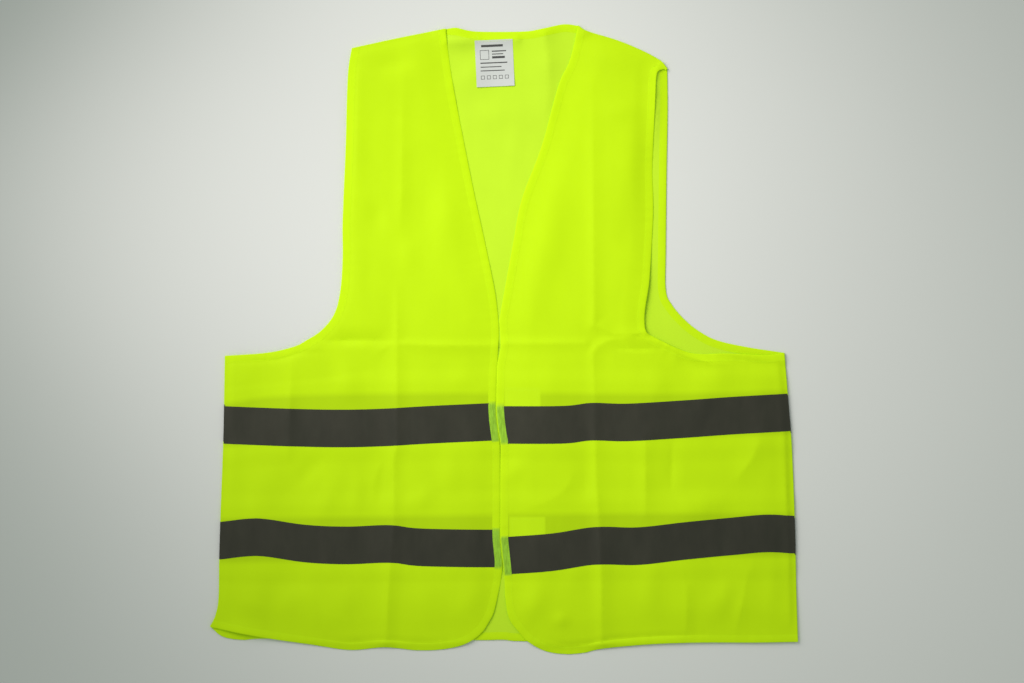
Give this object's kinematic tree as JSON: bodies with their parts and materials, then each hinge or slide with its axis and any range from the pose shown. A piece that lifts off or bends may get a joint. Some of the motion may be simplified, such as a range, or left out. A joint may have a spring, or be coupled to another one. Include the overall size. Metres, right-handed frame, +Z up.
{
  "type": "safety vest",
  "caption": "High-visibility safety vest laid flat, front up: fluorescent knit back and fronts, bound edges, reflective bands, open V neck and armholes.",
  "frame": {"origin": "on the surface that the vest lies on, below the middle of its outline", "axes": "+Z up, away from the surface; +Y towards the neck along the back's length; +X to the viewer's right, the wearer's left"},
  "size_m": [0.784, 0.841, 0.0114],
  "materials": {
    "knit": "warp-knitted polyester, fluorescent yellow, matt with a slight sheen",
    "binding": "folded knitted binding, fluorescent yellow, satin",
    "tape": "retroreflective tape, dark grey where no light is thrown back, satin",
    "closure": "hook-and-loop patch, pale yellow, matt",
    "label": "woven label, white, matt"
  },
  "bodies": {
    "root": {"back_panel": "knit", "front_panel_left": "knit", "front_panel_right": "knit", "band_back_upper": "tape", "band_back_lower": "tape", "band_left_upper": "tape", "band_left_lower": "tape", "band_right_upper": "tape", "band_right_lower": "tape", "binding_back_neck": "binding", "binding_back_hem": "binding", "binding_front_left": "binding", "binding_front_right": "binding", "binding_armhole_left_front": "binding", "binding_armhole_left_back": "binding", "binding_armhole_right_front": "binding", "binding_armhole_right_back": "binding", "closure_upper": "closure", "closure_lower": "closure", "neck_label": "label"}
  },
  "joints": []
}
